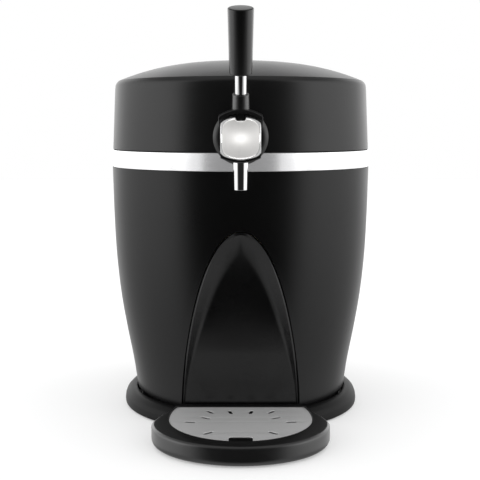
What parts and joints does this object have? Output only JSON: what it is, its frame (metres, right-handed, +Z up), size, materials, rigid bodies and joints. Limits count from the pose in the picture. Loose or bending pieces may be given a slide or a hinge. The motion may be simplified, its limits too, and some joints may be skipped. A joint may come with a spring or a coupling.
{
  "type": "mini keg beer dispenser",
  "caption": "Barrel-shaped cooled dispenser for a small beer keg, with a hinged lid, a front lever tap and a drip tray that pulls out.",
  "frame": {"origin": "middle of the bounding box in plan, on the surface that it stands on; the barrel's axis is 34.35 mm behind it", "axes": "front with the tap and drip tray faces -Y, +X is to the right seen from the front, +Z is up"},
  "size_m": [0.2712, 0.3733, 0.4017],
  "materials": {
    "black_satin": "satin moulded black, softly grained",
    "black_inner": "matt moulded black",
    "chromed": "bright plated",
    "stainless": "fine brushed",
    "bare_steel": "plain drawn steel",
    "aluminium": "plain",
    "foam": "moulded rigid foam, matt",
    "seal_rubber": "soft matt rubber",
    "clear_tube": "milky silicone tube",
    "ceramic": "white ceramic plates",
    "board": "green circuit board",
    "lamp_red": "clear red lens"
  },
  "bodies": {
    "housing": {"body_shell": "black_satin", "recess_panel": "black_inner", "base_ring": "black_satin", "base_pan": "black_inner", "chrome_band": "chromed", "chamber_rim": "black_inner", "chamber_liner": "aluminium", "insulation_jacket": "foam", "lid_seal": "seal_rubber", "hinge_bracket": "black_inner", "hinge_pin": "bare_steel", "tap_body": "black_satin", "tap_face": "chromed", "spout": "chromed", "lever_pin": "bare_steel", "neck_plug": "black_inner", "tap_cradle": "black_inner", "beer_hose": "clear_tube", "keg_coupler": "black_inner", "coupler_dock": "black_inner", "rear_cover": "black_inner", "cold_block": "aluminium", "peltier_module": "ceramic", "heat_sink": "aluminium", "fan_frame": "black_inner", "control_board": "board", "power_inlet": "black_inner", "rocker_bezel": "black_inner", "status_lens": "lamp_red", "cover_screw_1": "bare_steel", "cover_screw_2": "bare_steel", "cover_screw_3": "bare_steel", "cover_screw_4": "bare_steel", "cover_post_1": "bare_steel", "cover_post_2": "bare_steel", "cover_post_3": "bare_steel", "cover_post_4": "bare_steel", "foot_front_left": "seal_rubber", "foot_rear_left": "seal_rubber", "foot_front_right": "seal_rubber", "foot_rear_right": "seal_rubber", "valve_spring": "bare_steel"},
    "lid": {"lid_shell": "black_satin", "lid_liner": "black_inner", "lid_insulation": "foam", "hinge_leaf": "black_inner"},
    "lever": {"lever_hub": "black_satin", "lever_stem": "chromed", "tap_handle": "black_satin"},
    "valve": {"valve_plunger": "bare_steel"},
    "tray": {"drip_tray": "black_satin"},
    "grid": {"drip_plate": "stainless"},
    "fan": {"fan_rotor": "black_inner"},
    "rocker": {"power_rocker": "black_inner"}
  },
  "joints": [
    {"name": "lid_hinge", "type": "hinge", "parent": "housing", "child": "lid", "pos_m": [0, 0.17535, 0.2722], "axis": [-1, 0, 0], "range_deg": [0, 75]},
    {"name": "lever_pivot", "type": "hinge", "parent": "housing", "child": "lever", "pos_m": [0, -0.11615, 0.2892], "axis": [1, 0, 0], "range_deg": [0, 28]},
    {"name": "valve_slide", "type": "slide", "parent": "housing", "child": "valve", "axis": [0, 1, 0], "range_m": [0, 0.0045], "deforming": ["valve_spring"]},
    {"name": "tray_slide", "type": "slide", "parent": "housing", "child": "tray", "axis": [0, -1, 0], "range_m": [0, 0.125]},
    {"name": "plate_lift", "type": "slide", "parent": "tray", "child": "grid", "axis": [0, 0, 1], "range_m": [0, 0.02]},
    {"name": "fan_spin", "type": "hinge", "parent": "housing", "child": "fan", "pos_m": [0, 0.16925, 0.15], "axis": [0, 1, 0], "continuous": true},
    {"name": "rocker_tilt", "type": "hinge", "parent": "housing", "child": "rocker", "pos_m": [0.028, 0.18185, 0.06], "axis": [-1, 0, 0], "range_deg": [0, 14]}
  ],
  "couplings": [
    {"joint": "valve_slide", "follows": "lever_pivot", "m_per_rad": 0.0088}
  ]
}
